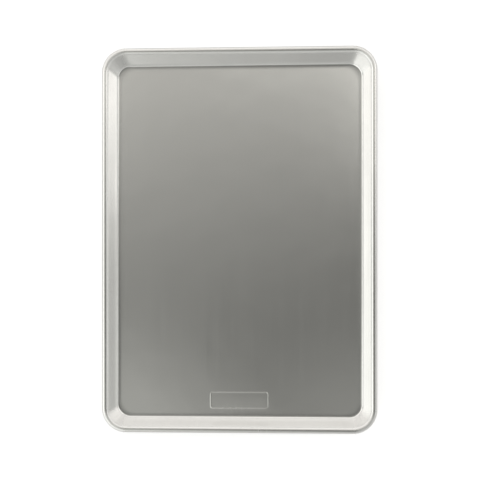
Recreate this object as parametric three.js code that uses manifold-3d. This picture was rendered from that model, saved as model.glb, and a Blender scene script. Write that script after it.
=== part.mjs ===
// Half-sheet baking pan: one drawn aluminium sheet whose edge is rolled round a steel stiffening wire.
// Millimetres, +Z up. X runs across the pan, Y along it. The origin is the centre of the floor's underside.
import * as THREE from "three";
import Module from "manifold-3d";

// Overall sizes, measured over the outside of the rolled rim.
const PAN_WIDTH = 325;
const PAN_LENGTH = 455;
const PAN_HEIGHT = 27;
const RIM_CORNER_RADIUS = 29;

// Sheet and bends. The wall leans out from upright, the fillet is the inside radius where it meets the
// floor, and the corner radius is that of the flat floor inside the fillet.
const SHEET_THICKNESS = 1;
const WALL_LEAN = THREE.MathUtils.degToRad(15.5);
const FLOOR_FILLET = 2;
const FLOOR_CORNER_RADIUS = 15;

// Stiffening wire and the curl that wraps it. The wire's two cut ends meet halfway along the right side.
const WIRE_DIAMETER = 5.8;
const WIRE_CLEARANCE = 0.25;
const WIRE_BUTT_GAP = 1.2;
const CURL_EDGE_GAP = 0.5;

// Bare frame pressed up into the floor near one end: a low ridge above with its groove beneath.
const STAMP_WIDTH = 71.5;
const STAMP_LENGTH = 20.9;
const STAMP_INSIDE_RADIUS = 2;
const STAMP_CREST = 0.6;
const STAMP_FLANK = 0.55;
const STAMP_RISE = 0.28;
const STAMP_TO_FLOOR_EDGE = 8.8;

// How finely the round stretches are divided.
const CORNER_STEPS = 12;
const BEND_STEP = THREE.MathUtils.degToRad(15);
const WIRE_SIDES = 16;

const QUARTER = Math.PI / 2;

const wasm = await Module();
wasm.setup();

// Rounded rectangle about the origin, anticlockwise from the middle of its right side.
// A seam leaves it open there by that much.
function roundedOutline(width, length, radius, seam = 0) {
  const right = width / 2;
  const x = right - radius;
  const y = length / 2 - radius;
  const path = new THREE.Path();
  path.moveTo(right, seam / 2);
  path.absarc(x, y, radius, 0, QUARTER);
  path.absarc(-x, y, radius, QUARTER, 2 * QUARTER);
  path.absarc(-x, -y, radius, 2 * QUARTER, 3 * QUARTER);
  path.absarc(x, -y, radius, 3 * QUARTER, 4 * QUARTER);
  if (seam > 0) {
    path.lineTo(right, -seam / 2);
  }
  // A path divides each arc into twice the number that it is given.
  return path.getPoints(CORNER_STEPS / 2);
}

// Joins outlines, the levels, in order into one closed surface.
// Closed outlines with open levels are capped flat at the first and last level.
// Open outlines with closed levels are capped at their two cut ends.
function loft(levels, { outlinesClosed = true, levelsClosed = false } = {}) {
  const around = levels[0].length;
  const index = [];
  const at = (row, column) => (row % levels.length) * around + (column % around);
  const rows = levelsClosed ? levels.length : levels.length - 1;
  const columns = outlinesClosed ? around : around - 1;
  for (let row = 0; row < rows; row++) {
    for (let column = 0; column < columns; column++) {
      const a = at(row, column);
      const b = at(row, column + 1);
      const c = at(row + 1, column + 1);
      const d = at(row + 1, column);
      index.push(a, d, b, b, d, c);
    }
  }
  if (outlinesClosed && !levelsClosed) {
    for (const [a, b, c] of THREE.ShapeUtils.triangulateShape(levels[0], [])) {
      index.push(a, b, c);
      index.push(at(rows, a), at(rows, c), at(rows, b));
    }
  }
  if (!outlinesClosed) {
    for (let row = 1; row < levels.length - 1; row++) {
      index.push(at(0, 0), at(row + 1, 0), at(row, 0));
      index.push(at(0, columns), at(row, columns), at(row + 1, columns));
    }
  }
  const geometry = new THREE.BufferGeometry();
  geometry.setFromPoints(levels.flat());
  geometry.setIndex(index);
  return geometry;
}

// Points along an arc through the given angles, each stretch divided evenly.
function arcThrough(centre, radius, angles) {
  const points = [];
  for (let stretch = 1; stretch < angles.length; stretch++) {
    const start = angles[stretch - 1];
    const end = angles[stretch];
    const steps = Math.max(1, Math.round(Math.abs(end - start) / BEND_STEP));
    const arc = new THREE.EllipseCurve(centre.x, centre.y, radius, radius, start, end, end < start);
    points.push(...arc.getPoints(steps).slice(stretch > 1 ? 1 : 0));
  }
  return points;
}

// The pan's section. In its plane, x is the inset from the rim's outside and y is the height.
const curlInsideRadius = WIRE_DIAMETER / 2 + WIRE_CLEARANCE;
const curlOutsideRadius = curlInsideRadius + SHEET_THICKNESS;
const wireCentre = new THREE.Vector2(curlOutsideRadius, PAN_HEIGHT - curlOutsideRadius);

// The wall's inner face touches both the fillet and the outside of the curl, which lie on its two sides.
const filletHeight = SHEET_THICKNESS + FLOOR_FILLET;
const wallDrop = wireCentre.y - filletHeight;
const wallRun = wallDrop * Math.tan(WALL_LEAN) + (curlOutsideRadius + FLOOR_FILLET) / Math.cos(WALL_LEAN);
const filletCentre = new THREE.Vector2(wireCentre.x + wallRun, filletHeight);
const floorInset = filletCentre.x;

// From the floor's top face up the wall, round the curl to its cut edge, and back along the other face.
// The curl's cut edge stops short of the wall's outer face.
function sheetSection() {
  const edgeReach = Math.acos((curlInsideRadius - CURL_EDGE_GAP) / curlOutsideRadius);
  const curlEdge = WALL_LEAN + 4 * QUARTER - edgeReach;
  const curl = [WALL_LEAN, QUARTER, 2 * QUARTER, 3 * QUARTER, curlEdge];
  const fillet = [3 * QUARTER, 2 * QUARTER + WALL_LEAN];
  return [
    ...arcThrough(filletCentre, FLOOR_FILLET, fillet),
    ...arcThrough(wireCentre, curlOutsideRadius, curl),
    ...arcThrough(wireCentre, curlInsideRadius, curl.toReversed()),
    ...arcThrough(filletCentre, FLOOR_FILLET + SHEET_THICKNESS, fillet.toReversed()),
  ];
}

// The rim turns its corners at a steady offset, and below it the wall eases to the floor's corner radius.
function cornerRadius(inset) {
  const rimInset = 2 * curlOutsideRadius;
  if (inset < rimInset) {
    return RIM_CORNER_RADIUS - inset;
  }
  const share = (inset - rimInset) / (floorInset - rimInset);
  return THREE.MathUtils.lerp(RIM_CORNER_RADIUS - rimInset, FLOOR_CORNER_RADIUS, share);
}

// Carries a section point round the pan.
function panLevel({ x, y }, seam = 0) {
  const radius = cornerRadius(x);
  const outline = roundedOutline(PAN_WIDTH - 2 * x, PAN_LENGTH - 2 * x, radius, seam);
  return outline.map((point) => new THREE.Vector3(point.x, point.y, y));
}

// Ridge of the stamped frame on a face at the given height, rooted a little below that face.
function stampRidge(face) {
  const root = SHEET_THICKNESS / 4;
  const line = STAMP_CREST + 2 * STAMP_FLANK;
  const section = [
    new THREE.Vector2(line, -root),
    new THREE.Vector2(line, 0),
    new THREE.Vector2(line - STAMP_FLANK, STAMP_RISE),
    new THREE.Vector2(STAMP_FLANK, STAMP_RISE),
    new THREE.Vector2(0, 0),
    new THREE.Vector2(0, -root),
  ];
  const levels = section.map(({ x, y }) => {
    const radius = STAMP_INSIDE_RADIUS + line - x;
    const outline = roundedOutline(STAMP_WIDTH - 2 * x, STAMP_LENGTH - 2 * x, radius);
    return outline.map((point) => new THREE.Vector3(point.x, point.y, face + y));
  });
  const floorEdge = floorInset - PAN_LENGTH / 2;
  const centre = floorEdge + STAMP_TO_FLOOR_EDGE + STAMP_LENGTH / 2;
  return loft(levels, { levelsClosed: true }).translate(0, centre, 0);
}

function solidOf(geometry) {
  const vertProperties = geometry.attributes.position.array;
  const triVerts = new Uint32Array(geometry.index.array);
  return new wasm.Manifold(new wasm.Mesh({ numProp: 3, vertProperties, triVerts }));
}

function geometryOf(solid) {
  const { numProp, vertProperties, triVerts } = solid.getMesh();
  const geometry = new THREE.BufferGeometry();
  geometry.setAttribute("position", new THREE.BufferAttribute(vertProperties, numProp));
  geometry.setIndex(new THREE.BufferAttribute(triVerts, 1));
  return geometry;
}

// The drawn sheet: floor, walls and curl in one piece, with the frame pressed through its floor.
function panSheet() {
  const drawn = loft(sheetSection().map((point) => panLevel(point)));
  const ridge = solidOf(stampRidge(SHEET_THICKNESS));
  const groove = solidOf(stampRidge(0));
  return geometryOf(solidOf(drawn).add(ridge).subtract(groove));
}

// The wire runs once round the rim inside the curl.
function rimWire() {
  const circle = new THREE.EllipseCurve(wireCentre.x, wireCentre.y, WIRE_DIAMETER / 2, WIRE_DIAMETER / 2);
  const section = circle.getPoints(WIRE_SIDES).slice(0, WIRE_SIDES);
  const levels = section.map((point) => panLevel(point, WIRE_BUTT_GAP));
  return loft(levels, { outlinesClosed: false, levelsClosed: true });
}

const satinAluminium = new THREE.MeshStandardMaterial({ color: 0xcfcdc8, roughness: 0.34, metalness: 1 });
const galvanisedSteel = new THREE.MeshStandardMaterial({ color: 0xaeb3b6, roughness: 0.5, metalness: 1 });

function named(name, geometry, material) {
  const mesh = new THREE.Mesh(geometry, material);
  mesh.name = name;
  return mesh;
}

const sheetPan = new THREE.Group();
sheetPan.add(named("pan_sheet", panSheet(), satinAluminium));
sheetPan.add(named("rim_wire", rimWire(), galvanisedSteel));

export default sheetPan;
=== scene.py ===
"""Looks of a half-sheet baking pan: the drawn sheet, the wire in its rim, a studio and a camera.

Metres, +Z up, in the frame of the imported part. X runs across the pan and Y along it.
"""

import logging
import math
from dataclasses import dataclass, field
from enum import Enum
from typing import Any

import bpy
import numpy as np
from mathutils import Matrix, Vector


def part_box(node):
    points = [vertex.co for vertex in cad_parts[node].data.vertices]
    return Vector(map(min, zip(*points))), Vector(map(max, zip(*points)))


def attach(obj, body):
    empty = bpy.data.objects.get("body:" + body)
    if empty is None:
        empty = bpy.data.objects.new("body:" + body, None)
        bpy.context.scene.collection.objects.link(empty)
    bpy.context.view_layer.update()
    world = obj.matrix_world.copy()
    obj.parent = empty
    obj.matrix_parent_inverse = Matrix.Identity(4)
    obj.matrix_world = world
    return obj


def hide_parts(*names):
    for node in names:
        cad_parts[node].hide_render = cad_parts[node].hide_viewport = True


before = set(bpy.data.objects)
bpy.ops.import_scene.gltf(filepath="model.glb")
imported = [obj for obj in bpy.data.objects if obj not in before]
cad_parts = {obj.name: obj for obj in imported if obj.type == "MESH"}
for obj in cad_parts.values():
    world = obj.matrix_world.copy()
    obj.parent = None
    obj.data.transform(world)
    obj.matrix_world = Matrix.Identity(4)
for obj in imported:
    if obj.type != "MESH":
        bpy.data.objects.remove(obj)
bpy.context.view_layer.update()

BODY = "root"
GRAIN_MAP = "sheet_grain"
LOG = logging.getLogger("sheet_pan")

QUARTER = math.pi / 2
SHARP_ANGLE = math.radians(40)
NOISE_MIDDLE = 0.5
WHITE = (1.0, 1.0, 1.0, 1.0)

Triple = tuple[float, float, float]
Colour = Triple
Stretch = tuple[float, float]


def cosine(degrees: float) -> float:
    """Cosine of an angle in degrees."""
    return math.cos(math.radians(degrees))


class Reading:
    """A number that varies over a surface: a node's output, with Python's arithmetic."""

    def __init__(self, bench: "Bench", socket: bpy.types.NodeSocket) -> None:
        """Wraps an output socket of the bench's tree."""
        self.bench = bench
        self.socket = socket

    def _maths(self, operation: str, *values: "Reading | float") -> "Reading":
        """Adds a Math node.

        Args:
            operation: The node's operation.
            values: Its inputs, in order.

        Returns:
            The node's result.
        """
        node = self.bench.add("ShaderNodeMath", {"operation": operation}, dict(enumerate(values)))
        return Reading(self.bench, node.outputs[0])

    def __add__(self, other: "Reading | float") -> "Reading":
        """Sum."""
        return self._maths("ADD", self, other)

    def __radd__(self, other: float) -> "Reading":
        """Sum with the number first."""
        return self._maths("ADD", other, self)

    def __sub__(self, other: "Reading | float") -> "Reading":
        """Difference."""
        return self._maths("SUBTRACT", self, other)

    def __rsub__(self, other: float) -> "Reading":
        """Difference with the number first."""
        return self._maths("SUBTRACT", other, self)

    def __mul__(self, other: "Reading | float") -> "Reading":
        """Product."""
        return self._maths("MULTIPLY", self, other)

    def __rmul__(self, other: float) -> "Reading":
        """Product with the number first."""
        return self._maths("MULTIPLY", other, self)

    def magnitude(self) -> "Reading":
        """Its size without its sign."""
        return self._maths("ABSOLUTE", self)

    def at_most(self, ceiling: "Reading | float") -> "Reading":
        """The lesser of this and another."""
        return self._maths("MINIMUM", self, ceiling)

    def between(self, low: float, high: float) -> "Reading":
        """Goes smoothly from 0 at low to 1 at high, whichever is greater."""
        sockets = {"Value": self, "From Min": low, "From Max": high}
        node = self.bench.add("ShaderNodeMapRange", {"interpolation_type": "SMOOTHSTEP"}, sockets)
        return Reading(self.bench, node.outputs["Result"])


class Bench:
    """A node tree, with one way to add a node to it."""

    def __init__(self, tree: bpy.types.NodeTree) -> None:
        """Clears the tree."""
        self.tree = tree
        tree.nodes.clear()

    def add(
        self,
        kind: str,
        settings: dict[str, Any] | None = None,
        sockets: dict[str | int, Any] | None = None,
    ) -> bpy.types.Node:
        """Adds a node.

        Args:
            kind: Blender's name for the type of node.
            settings: Its properties, which are set first.
            sockets: Values or links of its inputs, by name or number.

        Returns:
            The node.
        """
        node = self.tree.nodes.new(kind)
        for name, setting in (settings or {}).items():
            setattr(node, name, setting)
        for key, value in (sockets or {}).items():
            if isinstance(value, Reading):
                value = value.socket
            if isinstance(value, bpy.types.NodeSocket):
                self.tree.links.new(value, node.inputs[key])
            else:
                node.inputs[key].default_value = value
        return node

    def axes(self, vector: bpy.types.NodeSocket) -> tuple[Reading, Reading, Reading]:
        """A vector's three numbers."""
        node = self.add("ShaderNodeSeparateXYZ", {}, {0: vector})
        x, y, z = (Reading(self, socket) for socket in node.outputs)
        return x, y, z

    def stretched(self, vector: bpy.types.NodeSocket, scale: Triple) -> bpy.types.NodeSocket:
        """A vector scaled along each axis.

        Args:
            vector: The vector's socket.
            scale: The factor for each axis.

        Returns:
            The scaled vector's socket.
        """
        node = self.add("ShaderNodeVectorMath", {"operation": "MULTIPLY"}, {0: vector, 1: scale})
        return node.outputs[0]

    def noise(self, vector: bpy.types.NodeSocket, scale: float, detail: float = 2.0) -> Reading:
        """Cloudy noise about its middle.

        Args:
            vector: Where it is read.
            scale: Clouds in each unit of the vector.
            detail: Octaves of finer noise on top.

        Returns:
            The noise.
        """
        sockets = {"Vector": vector, "Scale": scale, "Detail": detail}
        node = self.add("ShaderNodeTexNoise", {"noise_dimensions": "3D"}, sockets)
        return Reading(self, node.outputs[0])

    def mixed(self, share: Reading, first: Colour, second: Colour) -> bpy.types.NodeSocket:
        """Mixes two colours.

        Args:
            share: How much of the second colour shows.
            first: Colour at a share of 0.
            second: Colour at a share of 1.

        Returns:
            The mixed colour's socket.
        """
        sockets = {0: share, 6: (*first, 1.0), 7: (*second, 1.0)}
        node = self.add("ShaderNodeMix", {"data_type": "RGBA"}, sockets)
        return node.outputs[2]

    def filtered(self, share: Reading, colour: bpy.types.NodeSocket, tint: Colour) -> bpy.types.NodeSocket:
        """Tints a colour.

        Args:
            share: How much of the tint is taken up.
            colour: The colour's socket.
            tint: What the colour is multiplied by at a share of 1.

        Returns:
            The tinted colour's socket.
        """
        settings = {"data_type": "RGBA", "blend_type": "MULTIPLY"}
        node = self.add("ShaderNodeMix", settings, {0: share, 6: colour, 7: (*tint, 1.0)})
        return node.outputs[2]


def new_material(name: str) -> tuple[bpy.types.Material, Bench]:
    """Makes an empty material.

    Args:
        name: The material's name.

    Returns:
        The material and the bench for its nodes.
    """
    material = bpy.data.materials.new(name)
    material.use_nodes = True
    return material, Bench(material.node_tree)


@dataclass(frozen=True)
class PanForm:
    """Sizes that the sheet and the wire share, and the bends that they give.

    A point of the section is an inset from the rim's outside and a height. The floor eases upwards before
    the fillet turns it into the wall, and from further in at its corners. The curl is a little squarer
    than a circle, whose squareness is 2.
    """

    width: float
    length: float
    height: float
    wire: float
    sheet: float = 0.001
    lean: float = math.radians(15.5)
    fillet: float = 0.002
    ease_run: float = 0.005
    ease_turn: float = math.radians(12)
    ease_steps: int = 8
    rim_corner: float = 0.029
    floor_corner: float = 0.015
    floor_corner_inset: float = 0.01604
    flat_corner: float = 0.020
    wire_clearance: float = 0.00025
    edge_gap: float = 0.0005
    squareness: float = 2.2
    bend_step: float = math.radians(9)

    @classmethod
    def from_frame(cls) -> "PanForm":
        """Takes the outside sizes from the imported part."""
        low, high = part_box("pan_sheet")
        wire_low, wire_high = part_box("rim_wire")
        return cls(*(high - low), (wire_high - wire_low).z)

    @property
    def curl_inside(self) -> float:
        """Radius of the curl's inner face."""
        return self.wire / 2 + self.wire_clearance

    @property
    def curl_outside(self) -> float:
        """Radius of the curl's outer face."""
        return self.curl_inside + self.sheet

    @property
    def wire_centre(self) -> np.ndarray:
        """Section point at the middle of the wire."""
        return np.array([self.curl_outside, self.height - self.curl_outside])

    @property
    def curl_start(self) -> float:
        """Turn about the wire at which the curl leaves the wall."""
        return math.atan(math.tan(self.lean) ** (1 / (self.squareness - 1)))

    @property
    def floor_inset(self) -> float:
        """Inset of the flat floor's edge."""
        return float(self.bend()[0][0, 0])

    @property
    def floor_half(self) -> np.ndarray:
        """Half the flat floor's width and length."""
        return np.array([self.width, self.length]) / 2 - self.floor_inset

    def corner_radius(self, inset: np.ndarray) -> np.ndarray:
        """Radius of the corners at an inset.

        Args:
            inset: Insets from the rim's outside.

        Returns:
            A steady offset round the rim, which eases to the fillet's corners and then to the flat floor's.
        """
        rim = 2 * self.curl_outside
        insets = [0, rim, self.floor_corner_inset, self.floor_inset]
        radii = [self.rim_corner, self.rim_corner - rim, self.floor_corner, self.flat_corner]
        return np.interp(inset, insets, radii)

    def bend(self) -> tuple[np.ndarray, np.ndarray]:
        """The inner face from the flat floor's edge to the foot of the wall.

        Returns:
            Its section points and its slope at each.
        """
        upright = QUARTER - self.lean
        share = np.linspace(0, 1, self.ease_steps + 1)
        fillet_steps = math.ceil((upright - self.ease_turn) / self.bend_step)
        turns = np.linspace(self.ease_turn, upright, fillet_steps + 1)
        slope = np.concatenate([self.ease_turn * share**2, turns[1:]])
        along = np.concatenate([self.ease_run * np.diff(share), self.fillet * np.diff(turns)])
        middle = (slope[1:] + slope[:-1]) / 2
        steps = along[:, None] * np.stack([-np.cos(middle), np.sin(middle)], axis=1)
        path = np.vstack([[0, 0], np.cumsum(steps, axis=0)]) + [0, self.sheet]
        top = self.wire_centre + self.curl_outside * self.squared(self.curl_start)
        foot = top[0] + (top[1] - path[-1, 1]) * math.tan(self.lean)
        return path + [foot - path[-1, 0], 0], slope

    def curl(self, radius: float) -> np.ndarray:
        """A face of the curl, from the top of the wall round the wire to the cut edge.

        Args:
            radius: The face's radius about the wire.

        Returns:
            Its section points.
        """
        reach = math.acos((self.curl_inside - self.edge_gap) / self.curl_outside)
        start, end = self.curl_start, self.lean + math.tau - reach
        turn = np.linspace(start, end, math.ceil((end - start) / self.bend_step) + 1)
        return self.wire_centre + radius * self.squared(turn)

    def squared(self, turn: np.ndarray | float) -> np.ndarray:
        """Points of a curl of radius 1.

        Args:
            turn: Turns about the wire.

        Returns:
            A point for each turn.
        """
        way = np.stack([np.cos(turn), np.sin(turn)], axis=-1)
        return way / np.linalg.norm(way, ord=self.squareness, axis=-1, keepdims=True)


@dataclass(frozen=True)
class Outline:
    """Stations once round the pan, each a share of the straight sides and a way outwards."""

    share: np.ndarray
    outward: np.ndarray

    @classmethod
    def through(cls, edge: np.ndarray, form: PanForm) -> "Outline":
        """Takes its stations from points of the flat floor's edge.

        Args:
            edge: The points, in order round the floor.
            form: The pan's sizes.

        Returns:
            The outline through those points.
        """
        core = form.floor_half - form.corner_radius(form.floor_inset)
        middle = np.clip(edge, -core, core)
        outward = edge - middle
        return cls(middle / core, outward / np.linalg.norm(outward, axis=1, keepdims=True))

    def at(self, form: PanForm, inset: np.ndarray) -> np.ndarray:
        """Where the stations lie at an inset.

        Args:
            form: The pan's sizes.
            inset: The inset of each station.

        Returns:
            Their places on the ground.
        """
        radius = form.corner_radius(inset)[:, None]
        half = np.array([form.width, form.length]) / 2 - inset[:, None]
        return self.share * (half - radius) + self.outward * radius


@dataclass(frozen=True)
class StampedFrame:
    """Bare frame pressed up into the floor near one end, a low ridge above with its groove beneath."""

    width: float = 0.0715
    length: float = 0.0209
    line: float = 0.0017
    rise: float = 0.00014
    inside_radius: float = 0.002
    to_rim: float = 0.02484
    fine_margin: float = 0.0002

    def middle(self, form: PanForm) -> float:
        """Where its middle lies along the pan."""
        return self.to_rim + self.length / 2 - form.length / 2

    def ends(self, form: PanForm) -> Stretch:
        """Where its lower and upper lines end along the pan."""
        return self.middle(form) - self.length / 2, self.middle(form) + self.length / 2

    def height(self, place: np.ndarray, form: PanForm) -> np.ndarray:
        """How far it lifts the floor.

        Args:
            place: Points on the floor.
            form: The pan's sizes.

        Returns:
            The lift at each point.
        """
        radius = self.inside_radius + self.line
        half = np.array([self.width, self.length]) / 2 - radius
        beyond = np.abs(place - [0, self.middle(form)]) - half
        outside = np.linalg.norm(np.maximum(beyond, 0), axis=-1)
        depth = radius - outside - np.minimum(beyond.max(axis=-1), 0)
        across = np.clip(depth / self.line, 0, 1)
        return self.rise * (1 - np.cos(math.tau * across)) / 2

    def bands(self, form: PanForm) -> tuple[list[Stretch], list[Stretch]]:
        """Stretches across and along the pan that hold its lines and corners.

        Args:
            form: The pan's sizes.

        Returns:
            The stretches across, then those along.
        """
        turn = self.inside_radius + self.line + self.fine_margin
        right = self.width / 2 + self.fine_margin
        lower, upper = self.ends(form)
        bottom, top = lower - self.fine_margin, upper + self.fine_margin
        across = [(-right, turn - right), (right - turn, right)]
        return across, [(bottom, bottom + turn), (top - turn, top)]


@dataclass(frozen=True)
class CornerDraw:
    """Soft upright waves that drawing leaves in the walls at the corners, shifted from one to the next."""

    depth: float = 0.00012
    waves: float = 6.5
    shift_across: float = 0.6
    shift_along: float = 1.1

    def inset(self, outline: Outline) -> np.ndarray:
        """How far the wall moves in at each station where it is deepest."""
        turn = np.arctan2(np.abs(outline.outward[:, 1]), np.abs(outline.outward[:, 0])) / QUARTER
        fade = np.sin(math.pi * turn) ** 2
        across, along = np.sign(outline.share).T
        shift = across * self.shift_across + along * self.shift_along
        return self.depth * fade * np.cos(math.tau * self.waves * turn + shift)


class Face(Enum):
    """The two faces of the sheet, each with its own stretch of the flat pattern."""

    INSIDE = 0.0
    OUTSIDE = 1.0


@dataclass(frozen=True)
class Level:
    """One line of the section, carried round the pan.

    The run is the distance along the sheet from the floor's edge.
    """

    inset: float
    height: float
    run: float
    face: Face


@dataclass(frozen=True)
class SatinAluminium:
    """Mill-finished aluminium sheet: fine grain and streaks along the pan, and a clouded, faintly wavy skin.

    It is rougher where the rim was rolled, where the corners were drawn and where the frame was pressed.
    The rolled band lies between two shares of the curl's radius below the rim's top.
    """

    bright: Colour = (0.893, 0.890, 0.885)
    dull: Colour = (0.865, 0.862, 0.857)
    roughness: float = 0.20
    roughness_swing: float = 0.06
    rolled_roughness: float = 0.05
    rolled_band: Stretch = (1.15, 0.6)
    drawn_roughness: float = 0.20
    drawn_fade: float = 0.012
    pressed_roughness: float = 0.06
    pressed_beside: Stretch = (0.008, -0.012)
    pressed_above: float = 0.002
    grain_scale: Triple = (2600.0, 14.0, 1.0)
    grain_detail: float = 3.0
    grain_depth: float = 0.000004
    streak_scale: Triple = (420.0, 5.0, 1.0)
    streak_share: float = 0.4
    skin_range: Stretch = (0.35, 0.65)
    cloud_scale: float = 16.0
    cloud_detail: float = 4.0
    wave_scale: float = 24.0
    wave_detail: float = 1.0
    wave_depth: float = 0.00015

    def material(self, form: PanForm, stamp: StampedFrame) -> bpy.types.Material:
        """Builds the material.

        Args:
            form: The pan's sizes.
            stamp: The frame pressed into the floor.

        Returns:
            The material, which reads the sheet's flat pattern from its UV map.
        """
        material, bench = new_material("satin_aluminium")
        flat = bench.add("ShaderNodeUVMap", {"uv_map": GRAIN_MAP}).outputs[0]
        grain = bench.noise(bench.stretched(flat, self.grain_scale), 1.0, self.grain_detail)
        cloud = bench.noise(flat, self.cloud_scale, self.cloud_detail)
        streak = bench.noise(bench.stretched(flat, self.streak_scale), 1.0)
        skin = (cloud * (1 - self.streak_share) + streak * self.streak_share).between(*self.skin_range)
        uneven = grain + streak + cloud - 3 * NOISE_MIDDLE
        roughness = self.roughness + uneven * self.roughness_swing + self._worked(bench, form, stamp)
        wavy = bench.noise(flat, self.wave_scale, self.wave_detail)
        wave = bench.add("ShaderNodeBump", {}, {"Height": wavy, "Distance": self.wave_depth})
        sockets = {"Height": grain, "Distance": self.grain_depth, "Normal": wave.outputs[0]}
        bump = bench.add("ShaderNodeBump", {}, sockets)
        shader = bench.add(
            "ShaderNodeBsdfPrincipled",
            {},
            {
                "Base Color": bench.mixed(skin, self.bright, self.dull),
                "Metallic": 1.0,
                "Roughness": roughness,
                "Normal": bump.outputs[0],
            },
        )
        bench.add("ShaderNodeOutputMaterial", {}, {"Surface": shader.outputs[0]})
        return material

    def _worked(self, bench: Bench, form: PanForm, stamp: StampedFrame) -> Reading:
        """How much rougher the sheet is where tools worked it.

        Args:
            bench: The material's bench.
            form: The pan's sizes.
            stamp: The frame pressed into the floor.

        Returns:
            The roughness to add.
        """
        x, y, z = bench.axes(bench.add("ShaderNodeTexCoord").outputs["Object"])
        aside, along = x.magnitude(), y.magnitude()
        rolled = z.between(*(form.height - share * form.curl_outside for share in self.rolled_band))
        side, end = form.width / 2 - form.rim_corner, form.length / 2 - form.rim_corner
        drawn = aside.between(side, side + self.drawn_fade) * along.between(end, end + self.drawn_fade)
        drawn = drawn * z.between(form.sheet, form.sheet + 2 * form.fillet)
        lower, upper = stamp.ends(form)
        floor_end = float(-form.floor_half[1])
        pressed = aside.between(*(stamp.width / 2 + reach for reach in self.pressed_beside))
        pressed = pressed * y.between(upper + self.pressed_above, lower) * y.between(floor_end, lower)
        rim = rolled * self.rolled_roughness + drawn * self.drawn_roughness
        return rim + pressed * self.pressed_roughness


@dataclass(frozen=True)
class GalvanisedSteel:
    """Dull zinc on drawn wire, with small patches of spangle."""

    light: Colour = (0.66, 0.68, 0.69)
    dark: Colour = (0.50, 0.52, 0.53)
    roughness: float = 0.48
    roughness_swing: float = 0.14
    spangle_scale: float = 420.0
    draw_scale: float = 900.0
    draw_detail: float = 3.0
    draw_depth: float = 0.00002

    def material(self) -> bpy.types.Material:
        """Builds the material.

        Returns:
            The material.
        """
        material, bench = new_material("galvanised_steel")
        place = bench.add("ShaderNodeTexCoord").outputs["Object"]
        spangle = bench.add("ShaderNodeTexVoronoi", {}, {"Vector": place, "Scale": self.spangle_scale})
        tones = bench.add("ShaderNodeSeparateColor", {}, {0: spangle.outputs["Color"]})
        patch = Reading(bench, tones.outputs[0])
        draw = bench.noise(place, self.draw_scale, self.draw_detail)
        bump = bench.add("ShaderNodeBump", {}, {"Height": draw, "Distance": self.draw_depth})
        shader = bench.add(
            "ShaderNodeBsdfPrincipled",
            {},
            {
                "Base Color": bench.mixed(patch, self.light, self.dark),
                "Metallic": 1.0,
                "Roughness": self.roughness + (patch - NOISE_MIDDLE) * self.roughness_swing,
                "Normal": bump.outputs[0],
            },
        )
        bench.add("ShaderNodeOutputMaterial", {}, {"Surface": shader.outputs[0]})
        return material


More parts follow.
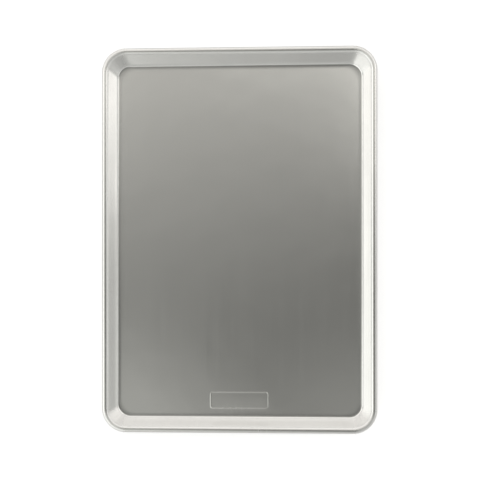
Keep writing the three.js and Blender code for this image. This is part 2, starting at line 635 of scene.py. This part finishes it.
@dataclass
class PanSheet:
    """The drawn sheet: floor, walls and curl in one piece."""

    form: PanForm
    stamp: StampedFrame = field(default_factory=StampedFrame)
    draw: CornerDraw = field(default_factory=CornerDraw)
    finish: SatinAluminium = field(default_factory=SatinAluminium)
    coarse_step: float = 0.006
    fine_step: float = 0.0002
    corner_steps: int = 16
    wall_steps: int = 7
    kept_width: float = 0.060

    def build(self) -> bpy.types.Object:
        """Builds the sheet and dresses it.

        Returns:
            The piece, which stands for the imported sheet.
        """
        grid = self._floor_grid()
        count = grid.shape[0] * grid.shape[1]
        number = np.arange(count).reshape(grid.shape[:2])
        ring = self._round(number)
        lift = self.stamp.height(grid, self.form).reshape(-1, 1)
        ground = grid.reshape(-1, 2)
        outline = Outline.through(ground[ring], self.form)
        levels = self._levels()
        waves = self.draw.inset(outline)

        points = [np.hstack([ground, lift + self.form.sheet])]
        for level in levels:
            points.append(self._carried(level, outline, waves))
        points.append(np.hstack([ground, lift]))
        under = count + len(levels) * len(ring)
        lines = [ring, *(count + np.arange(len(levels) * len(ring)).reshape(len(levels), -1)), under + ring]

        faces = [self._quads(number), self._quads(under + number)[:, ::-1]]
        flats = [ground[faces[0]], ground[faces[1] - under] + [Face.OUTSIDE.value, 0]]
        runs = [(0.0, Face.INSIDE), *((level.run, level.face) for level in levels), (0.0, Face.OUTSIDE)]
        for low, high, (low_run, _), (high_run, face) in zip(lines, lines[1:], runs, runs[1:]):
            faces.append(self._band(low, high))
            flats.append(self._band_pattern(ground[ring], outline.outward, low_run, high_run, face))

        piece = new_piece("pan_sheet_drawn", np.vstack(points), np.vstack(faces).tolist())
        grain = piece.data.uv_layers.new(name=GRAIN_MAP)
        grain.uv.foreach_set("vector", np.vstack(flats).reshape(-1).astype(np.float32))
        piece.data.materials.append(self.finish.material(self.form, self.stamp))
        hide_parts("pan_sheet")
        return piece

    def _lines(self, low: float, high: float, fine: list[Stretch], more: np.ndarray) -> np.ndarray:
        """Divides a stretch of the floor.

        Args:
            low: Its start.
            high: Its end.
            fine: Stretches of it that are divided finely.
            more: Other places that get a line.

        Returns:
            The lines' places in order.
        """
        coarse = np.linspace(low, high, round((high - low) / self.coarse_step) + 1)
        lines = np.concatenate([coarse, more])
        for start, end in fine:
            near = (lines > start - self.fine_step) & (lines < end + self.fine_step)
            divided = np.linspace(start, end, round((end - start) / self.fine_step) + 1)
            lines = np.concatenate([lines[~near], divided])
        lines = np.unique(np.clip(lines, low, high))
        return lines[np.concatenate([[True], np.diff(lines) > self.fine_step / 4])]

    def _floor_grid(self) -> np.ndarray:
        """Points over the flat floor in rows along the pan, which end on its rounded edge.

        Returns:
            The points by row and column.
        """
        half, corner = self.form.floor_half, float(self.form.corner_radius(self.form.floor_inset))
        across, along = self.stamp.bands(self.form)
        bend = corner * np.sin(np.linspace(0, QUARTER, self.corner_steps + 1)) + half[1] - corner
        rows = self._lines(-half[1], half[1], along, np.concatenate([-bend, bend]))
        columns = self._lines(-half[0], half[0], across, np.empty(0))
        reach = np.clip(np.abs(rows) - half[1] + corner, 0, corner)
        widths = half[0] - corner + np.sqrt(corner**2 - reach**2)
        spread = (widths - self.kept_width) / (half[0] - self.kept_width)
        beyond = np.maximum(np.abs(columns) - self.kept_width, 0)
        x = np.sign(columns) * (np.abs(columns) - beyond + beyond * spread[:, None])
        return np.stack([x, np.broadcast_to(rows[:, None], x.shape)], axis=-1)

    def _levels(self) -> list[Level]:
        """Lines of the section above the floor's edge, up the wall, round the curl and back down outside.

        Returns:
            The levels in order.
        """
        bend, slope = self.form.bend()
        away = np.stack([np.sin(slope), np.cos(slope)], axis=1)
        rising = self._face_levels(bend, self.form.curl(self.form.curl_outside), Face.INSIDE)
        under = bend - self.form.sheet * away
        falling = self._face_levels(under, self.form.curl(self.form.curl_inside), Face.OUTSIDE)
        return rising + falling[::-1]

    def _face_levels(self, bend: np.ndarray, curl: np.ndarray, face: Face) -> list[Level]:
        """Lines of one face of the sheet, from next to the floor's edge to the cut edge.

        Args:
            bend: The face's bend from the floor to the wall.
            curl: The face's curl round the wire.
            face: Which face it is.

        Returns:
            Its levels in order.
        """
        share = np.linspace(0, 1, self.wall_steps + 1)[1:-1, None]
        wall = bend[-1] + (curl[0] - bend[-1]) * share
        path = np.vstack([bend, wall, curl])
        run = np.concatenate([[0], np.cumsum(np.linalg.norm(np.diff(path, axis=0), axis=1))])
        return [Level(*point, distance, face) for point, distance in zip(path[1:], run[1:])]

    def _carried(self, level: Level, outline: Outline, waves: np.ndarray) -> np.ndarray:
        """Carries a level round the pan.

        Args:
            level: The level.
            outline: The stations round the pan.
            waves: How far the drawn corners move each station in.

        Returns:
            A point for each station.
        """
        on_wall = level.inset > self.form.curl_outside
        climb = min(level.height / self.form.wire_centre[1], 1)
        strength = math.sin(math.pi * climb) if on_wall else 0
        ground = outline.at(self.form, level.inset + waves * strength)
        return np.hstack([ground, np.full((len(ground), 1), level.height)])

    def _round(self, number: np.ndarray) -> np.ndarray:
        """The numbers round the edge of a grid, anticlockwise from its first."""
        return np.concatenate([number[0], number[1:, -1], number[-1, -2::-1], number[-2:0:-1, 0]])

    def _quads(self, number: np.ndarray) -> np.ndarray:
        """Faces between the points of a grid, anticlockwise from above."""
        corners = [number[:-1, :-1], number[:-1, 1:], number[1:, 1:], number[1:, :-1]]
        return np.stack(corners, axis=-1).reshape(-1, 4)

    def _band(self, low: np.ndarray, high: np.ndarray) -> np.ndarray:
        """Faces between two levels, anticlockwise from outside the sheet."""
        return np.stack([low, high, np.roll(high, -1), np.roll(low, -1)], axis=1)

    def _band_pattern(
        self, edge: np.ndarray, outward: np.ndarray, low: float, high: float, face: Face
    ) -> np.ndarray:
        """Flat pattern of the faces between two levels.

        Args:
            edge: The floor's edge at each station.
            outward: The way outwards at each station.
            low: The lower level's run.
            high: The upper level's run.
            face: The face of the sheet.

        Returns:
            Four places for each face.
        """
        near = edge + outward * low + [face.value, 0]
        far = edge + outward * high + [face.value, 0]
        return np.stack([near, far, np.roll(far, -1, axis=0), np.roll(near, -1, axis=0)], axis=1)


@dataclass
class RimWire:
    """The stiffening wire inside the curl, with its two cut ends meeting halfway along the right side."""

    form: PanForm
    finish: GalvanisedSteel = field(default_factory=GalvanisedSteel)
    butt_gap: float = 0.0012
    end_chamfer: float = 0.0004
    corner_steps: int = 16
    sides: int = 24

    def build(self) -> bpy.types.Object:
        """Builds the wire and dresses it.

        Returns:
            The piece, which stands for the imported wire.
        """
        path, outward, shrink = self._path()
        turn = np.linspace(0, math.tau, self.sides, endpoint=False)
        radius = (self.form.wire / 2 - shrink)[:, None]
        aside = outward[:, None, :] * (radius * np.cos(turn))[..., None]
        height = self.form.wire_centre[1] + radius * np.sin(turn)
        points = np.concatenate([path[:, None, :] + aside, height[..., None]], axis=-1).reshape(-1, 3)

        number = np.arange(len(points)).reshape(len(path), self.sides)
        wrapped = np.hstack([number, number[:, :1]])
        corners = [wrapped[:-1, :-1], wrapped[:-1, 1:], wrapped[1:, 1:], wrapped[1:, :-1]]
        faces = np.stack(corners, axis=-1).reshape(-1, 4)[:, ::-1]
        ends = [number[0].tolist(), number[-1, ::-1].tolist()]
        piece = new_piece("rim_wire_drawn", points, [*faces.tolist(), *ends])
        piece.data.materials.append(self.finish.material())
        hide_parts("rim_wire")
        return piece

    def _path(self) -> tuple[np.ndarray, np.ndarray, np.ndarray]:
        """The wire's middle line, anticlockwise from one cut end to the other.

        Returns:
            Its places on the ground, the way outwards there, and how much thinner the wire is there.
        """
        inset = self.form.wire_centre[0]
        radius = self.form.rim_corner - inset
        core = np.array([self.form.width, self.form.length]) / 2 - inset - radius
        places, outward = [], []
        signs = [(1, 1), (-1, 1), (-1, -1), (1, -1)]
        for quarter, sign in enumerate(signs):
            turn = (quarter + np.linspace(0, 1, self.corner_steps + 1)) * QUARTER
            way = np.stack([np.cos(turn), np.sin(turn)], axis=1)
            places.append(core * sign + radius * way)
            outward.append(way)
        starts = np.array([self.butt_gap / 2, self.butt_gap / 2 + self.end_chamfer])
        right = core[0] + radius
        head = np.stack([np.full(2, right), starts], axis=1)
        tail = np.stack([np.full(2, right), -starts[::-1]], axis=1)
        straight = np.tile([1.0, 0.0], (2, 1))
        path = np.vstack([head, *places, tail])
        shrink = np.zeros(len(path))
        shrink[[0, -1]] = self.end_chamfer
        return path, np.vstack([straight, *outward, straight]), shrink


def new_piece(name: str, points: np.ndarray, faces: list[list[int]]) -> bpy.types.Object:
    """Makes a smooth mesh that rides on the pan's body.

    Args:
        name: The piece's name.
        points: Its points.
        faces: Its faces, each a row of point numbers.

    Returns:
        The piece.
    """
    mesh = bpy.data.meshes.new(name)
    mesh.from_pydata(points.tolist(), [], faces)
    mesh.shade_smooth()
    mesh.set_sharp_from_angle(angle=SHARP_ANGLE)
    piece = bpy.data.objects.new(name, mesh)
    bpy.context.scene.collection.objects.link(piece)
    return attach(piece, BODY)


@dataclass(frozen=True)
class SoftPanel:
    """A round patch of the studio's light with a soft edge. Angles are in degrees.

    The azimuth turns anticlockwise from +X. A negative strength dims the light behind it.
    """

    azimuth: float
    from_zenith: float
    spread: float
    core: float
    strength: float

    def light(self, bench: Bench, way: bpy.types.NodeSocket) -> Reading:
        """Its light.

        Args:
            bench: The world's bench.
            way: The way that the light is seen in.

        Returns:
            The light seen that way.
        """
        azimuth, tilt = math.radians(self.azimuth), math.radians(self.from_zenith)
        middle = (math.sin(tilt) * math.cos(azimuth), math.sin(tilt) * math.sin(azimuth), math.cos(tilt))
        near = bench.add("ShaderNodeVectorMath", {"operation": "DOT_PRODUCT"}, {0: way, 1: middle})
        closeness = Reading(bench, near.outputs["Value"])
        return closeness.between(cosine(self.spread), cosine(self.core)) * self.strength


@dataclass(frozen=True)
class Studio:
    """White ground and soft light: pale sides round a dim ceiling, with soft panels about it.

    The light is held to a limit, which is lower towards the ground. Edges are in degrees from overhead.
    """

    ground_radius: float = 12.0
    ground_sides: int = 64
    ground_drop: float = 0.0004
    ground_glow: float = 0.66
    mirrored_glow: float = 0.2
    ground_tone: float = 0.6
    brightest: float = 1.33
    brightest_low: float = 1.06
    low_edge: Stretch = (54.0, 68.0)
    ceiling: float = 0.10
    sides: float = 0.57
    ceiling_edge: Stretch = (21.0, 45.5)
    tint_range: Stretch = (-0.1, 0.4)
    front_tint: Colour = (0.995, 1.0, 0.96)
    back_tint: Colour = (1.02, 1.0, 0.96)
    ceiling_tint: Colour = (1.0, 1.0, 0.97)
    panels: tuple[SoftPanel, ...] = (
        SoftPanel(azimuth=204, from_zenith=66.5, spread=50, core=27.5, strength=1.20),
        SoftPanel(azimuth=142, from_zenith=33.5, spread=15.5, core=8.5, strength=0.52),
        SoftPanel(azimuth=109, from_zenith=55, spread=65, core=0, strength=0.44),
        SoftPanel(azimuth=88, from_zenith=24.5, spread=10, core=1, strength=0.42),
        SoftPanel(azimuth=47, from_zenith=22, spread=9.2, core=5, strength=0.80),
        SoftPanel(azimuth=34.5, from_zenith=57.5, spread=27, core=17, strength=1.20),
        SoftPanel(azimuth=344, from_zenith=60.5, spread=20, core=4, strength=0.25),
        SoftPanel(azimuth=305, from_zenith=14, spread=9, core=0.5, strength=0.21),
        SoftPanel(azimuth=236.5, from_zenith=24, spread=18.5, core=8.5, strength=0.32),
        SoftPanel(azimuth=247, from_zenith=49, spread=16, core=3, strength=0.09),
        SoftPanel(azimuth=293, from_zenith=49, spread=22, core=4, strength=-0.10),
        SoftPanel(azimuth=178, from_zenith=62, spread=11, core=3, strength=-0.90),
        SoftPanel(azimuth=178, from_zenith=80, spread=13, core=3, strength=-1.30),
    )

    def build(self) -> None:
        """Lays the ground and sets the world."""
        self._ground()
        self._world()

    def _ground(self) -> None:
        """White ground that glows for the camera and for reflections, and still takes a shadow."""
        mesh = bpy.data.meshes.new("studio_ground")
        turn = np.linspace(0, math.tau, self.ground_sides, endpoint=False)
        rim = np.stack([np.cos(turn), np.sin(turn), np.zeros_like(turn)], axis=1) * self.ground_radius
        mesh.from_pydata(rim.tolist(), [], [list(range(self.ground_sides))])
        ground = bpy.data.objects.new("studio_ground", mesh)
        ground.location.z = -self.ground_drop
        bpy.context.scene.collection.objects.link(ground)
        material, bench = new_material("studio_white")
        path = bench.add("ShaderNodeLightPath")
        seen = Reading(bench, path.outputs["Is Camera Ray"]) * self.ground_glow
        for ray in ("Is Glossy Ray", "Is Transmission Ray"):
            seen = seen + Reading(bench, path.outputs[ray]) * self.mirrored_glow
        glow = bench.add("ShaderNodeEmission", {}, {"Strength": seen})
        paper = bench.add("ShaderNodeBsdfDiffuse", {}, {"Color": (self.ground_tone,) * 3 + (1.0,)})
        both = bench.add("ShaderNodeAddShader", {}, {0: glow.outputs[0], 1: paper.outputs[0]})
        bench.add("ShaderNodeOutputMaterial", {}, {"Surface": both.outputs[0]})
        mesh.materials.append(material)

    def _world(self) -> None:
        """The panels over the ceiling and sides, behind a backdrop that the camera sees white."""
        world = bpy.data.worlds.new("studio_light")
        world.use_nodes = True
        bench = Bench(world.node_tree)
        way = bench.add("ShaderNodeTexCoord").outputs["Generated"]
        _, back, up = bench.axes(way)
        inner, outer = (cosine(edge) for edge in self.ceiling_edge)
        overhead = up.between(outer, inner)
        light = self.sides + (self.ceiling - self.sides) * overhead
        for panel in self.panels:
            light = light + panel.light(bench, way)
        high, low = (cosine(edge) for edge in self.low_edge)
        limit = self.brightest_low + (self.brightest - self.brightest_low) * up.between(low, high)
        tint = bench.mixed(back.between(*self.tint_range), self.front_tint, self.back_tint)
        tint = bench.filtered(overhead, tint, self.ceiling_tint)
        sockets = {"Color": tint, "Strength": light.at_most(limit)}
        room = bench.add("ShaderNodeBackground", {}, sockets)
        backdrop = bench.add("ShaderNodeBackground", {}, {"Color": WHITE})
        seen = bench.add("ShaderNodeLightPath").outputs["Is Camera Ray"]
        either = {0: seen, 1: room.outputs[0], 2: backdrop.outputs[0]}
        shown = bench.add("ShaderNodeMixShader", {}, either)
        bench.add("ShaderNodeOutputWorld", {}, {"Surface": shown.outputs[0]})
        bpy.context.scene.world = world


@dataclass(frozen=True)
class Viewpoint:
    """Camera almost straight above the pan, as in the photograph, tilted a little about X, Y and Z."""

    place: Triple = (0.0359, -0.0520, 0.9)
    tilt: Triple = (math.radians(0.017), math.radians(2.245), math.radians(0.006))
    lens: float = 55.83
    sensor: float = 36.0
    shift: float = 0.0917

    def build(self) -> None:
        """Adds the camera and makes it the scene's own."""
        data = bpy.data.cameras.new("viewpoint")
        data.lens = self.lens
        data.sensor_width = self.sensor
        data.shift_y = self.shift
        camera = bpy.data.objects.new("viewpoint", data)
        camera.location = self.place
        camera.rotation_euler = self.tilt
        bpy.context.scene.collection.objects.link(camera)
        bpy.context.scene.camera = camera


def main() -> None:
    """Builds the pan, the studio and the camera."""
    logging.basicConfig(level=logging.INFO)
    bpy.context.scene.view_settings.view_transform = "Standard"
    form = PanForm.from_frame()
    for part in (PanSheet(form), RimWire(form)):
        piece = part.build()
        LOG.info("%s: %d points", piece.name, len(piece.data.vertices))
    Studio().build()
    Viewpoint().build()


if __name__ == "__main__":
    main()
